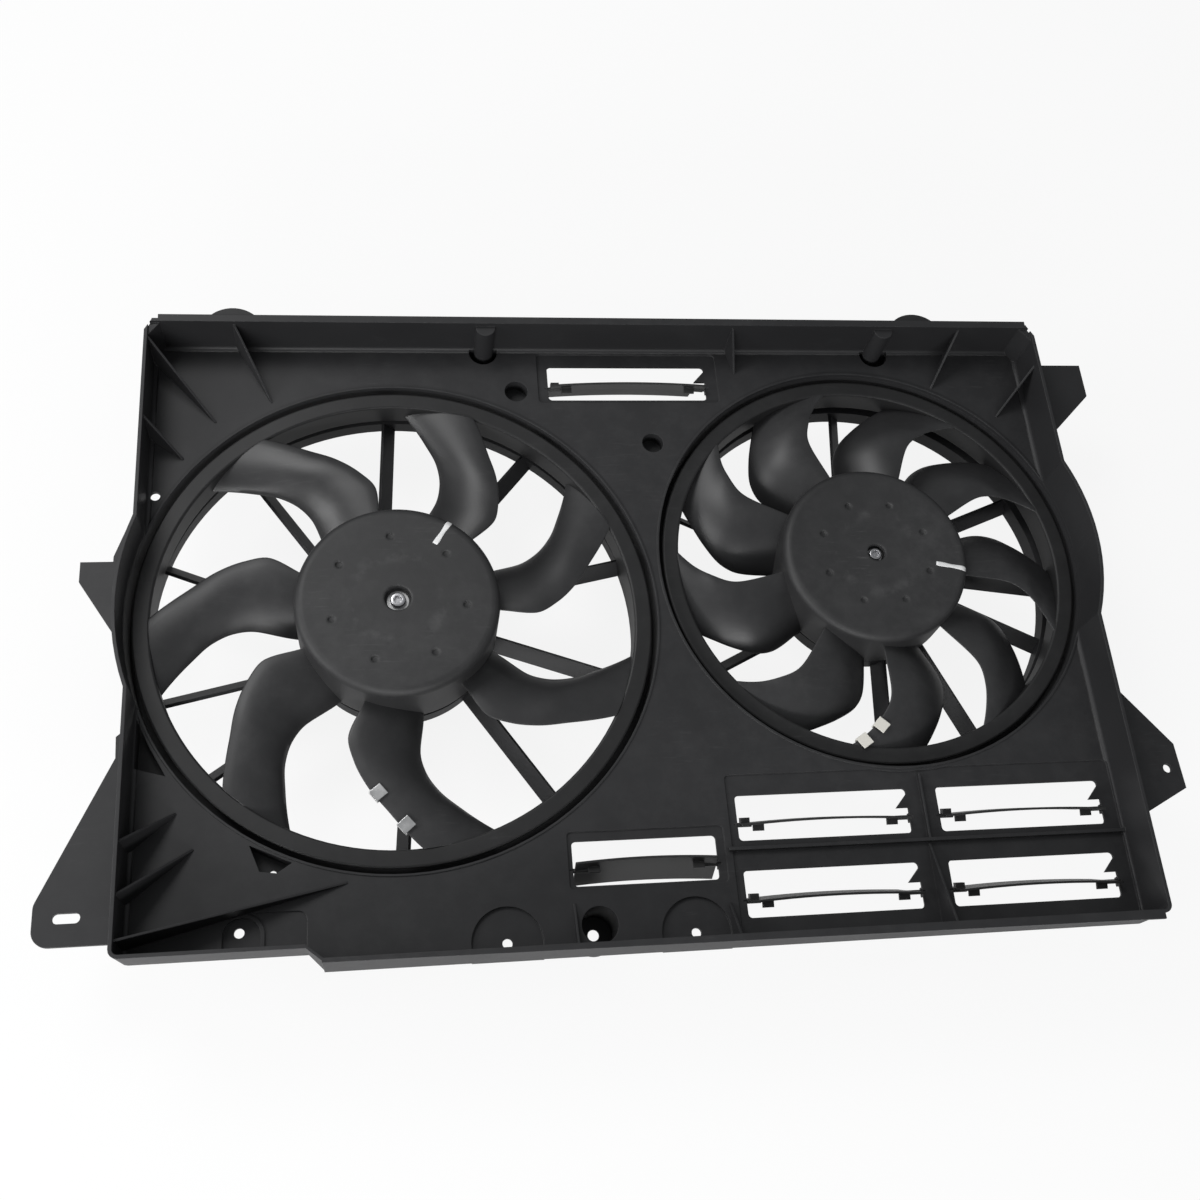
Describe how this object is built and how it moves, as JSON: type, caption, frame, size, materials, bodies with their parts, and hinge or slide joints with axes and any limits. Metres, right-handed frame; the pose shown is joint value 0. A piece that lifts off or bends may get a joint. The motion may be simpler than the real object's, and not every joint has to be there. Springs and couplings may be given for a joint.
{
  "type": "radiator cooling fan module",
  "caption": "Moulded shroud with a large and a small electric radiator fan side by side and hanging ram-air flaps.",
  "frame": {"origin": "centre of the bounding box in X and Y, at the height of the motors' back faces", "axes": "+X to the right when looking at the radiator side, +Y towards the shroud's top, +Z towards the radiator"},
  "size_m": [0.809, 0.5059, 0.116],
  "materials": {
    "shroud_plastic": "satin, fine grained mould surface",
    "fan_plastic": "satin, fine grained mould surface",
    "flap_plastic": "satin",
    "socket_plastic": "satin",
    "motor_coat": "black coated drawn steel",
    "cover_steel": "zinc coated",
    "zinc_screw": "zinc coated",
    "spring_steel": "bright",
    "insert_steel": "turned",
    "shaft_steel": "ground",
    "bearing_steel": "ground",
    "core_steel": "stacked sheets",
    "copper_wire": "enamelled copper",
    "commutator_copper": "turned copper",
    "ferrite": "fired ferrite, dull",
    "card_resin": "pressed resin",
    "carbon": "pressed carbon",
    "tin_brass": "tinned"
  },
  "bodies": {
    "module": {"shroud": "shroud_plastic", "shroud_walls": "shroud_plastic", "left_duct": "shroud_plastic", "left_vanes": "shroud_plastic", "left_motor_ring": "shroud_plastic", "left_motor_can": "motor_coat", "left_motor_cover": "cover_steel", "left_motor_screws": "zinc_screw", "left_rear_bearing": "bearing_steel", "left_front_bearing": "bearing_steel", "left_magnets": "ferrite", "left_brush_card": "card_resin", "left_brushes": "carbon", "left_terminal_socket": "socket_plastic", "left_terminals": "tin_brass", "right_duct": "shroud_plastic", "right_vanes": "shroud_plastic", "right_motor_ring": "shroud_plastic", "right_motor_can": "motor_coat", "right_motor_cover": "cover_steel", "right_motor_screws": "zinc_screw", "right_rear_bearing": "bearing_steel", "right_front_bearing": "bearing_steel", "right_magnets": "ferrite", "right_brush_card": "card_resin", "right_brushes": "carbon", "right_terminal_socket": "socket_plastic", "right_terminals": "tin_brass"},
    "left_rotor": {"left_hub": "fan_plastic", "left_blades": "fan_plastic", "left_fan_ring": "fan_plastic", "left_balance_clips": "spring_steel", "left_hub_insert": "insert_steel", "left_hub_screw": "zinc_screw", "left_shaft": "shaft_steel", "left_armature_core": "core_steel", "left_windings": "copper_wire", "left_commutator": "commutator_copper"},
    "right_rotor": {"right_hub": "fan_plastic", "right_blades": "fan_plastic", "right_fan_ring": "fan_plastic", "right_balance_clips": "spring_steel", "right_hub_insert": "insert_steel", "right_hub_screw": "zinc_screw", "right_shaft": "shaft_steel", "right_armature_core": "core_steel", "right_windings": "copper_wire", "right_commutator": "commutator_copper"},
    "flap_top": {"flap_top": "flap_plastic"},
    "flap_lower": {"flap_lower": "flap_plastic"},
    "flap_upper_left": {"flap_upper_left": "flap_plastic"},
    "flap_upper_right": {"flap_upper_right": "flap_plastic"},
    "flap_lower_left": {"flap_lower_left": "flap_plastic"},
    "flap_lower_right": {"flap_lower_right": "flap_plastic"}
  },
  "joints": [
    {"name": "left_fan_spin", "type": "hinge", "parent": "module", "child": "left_rotor", "pos_m": [-0.1685, 0.00175, 0.08], "axis": [0, 0, 1], "continuous": true},
    {"name": "right_fan_spin", "type": "hinge", "parent": "module", "child": "right_rotor", "pos_m": [0.194, 0.0385, 0.08], "axis": [0, 0, 1], "continuous": true},
    {"name": "flap_top_hinge", "type": "hinge", "parent": "module", "child": "flap_top", "pos_m": [0.0165, 0.19266, 0.0771], "axis": [1, 0, 0], "range_deg": [-25, 75]},
    {"name": "flap_lower_hinge", "type": "hinge", "parent": "module", "child": "flap_lower", "pos_m": [-0.0045, -0.19134, 0.0771], "axis": [1, 0, 0], "range_deg": [-2, 108]},
    {"name": "flap_upper_left_hinge", "type": "hinge", "parent": "module", "child": "flap_upper_left", "pos_m": [0.126, -0.1648, 0.0771], "axis": [1, 0, 0], "range_deg": [-25, 75]},
    {"name": "flap_upper_right_hinge", "type": "hinge", "parent": "module", "child": "flap_upper_right", "pos_m": [0.2735, -0.1648, 0.0771], "axis": [1, 0, 0], "range_deg": [-25, 75]},
    {"name": "flap_lower_left_hinge", "type": "hinge", "parent": "module", "child": "flap_lower_left", "pos_m": [0.126, -0.2183, 0.0771], "axis": [1, 0, 0], "range_deg": [-25, 75]},
    {"name": "flap_lower_right_hinge", "type": "hinge", "parent": "module", "child": "flap_lower_right", "pos_m": [0.2735, -0.2183, 0.0771], "axis": [1, 0, 0], "range_deg": [-25, 75]}
  ]
}
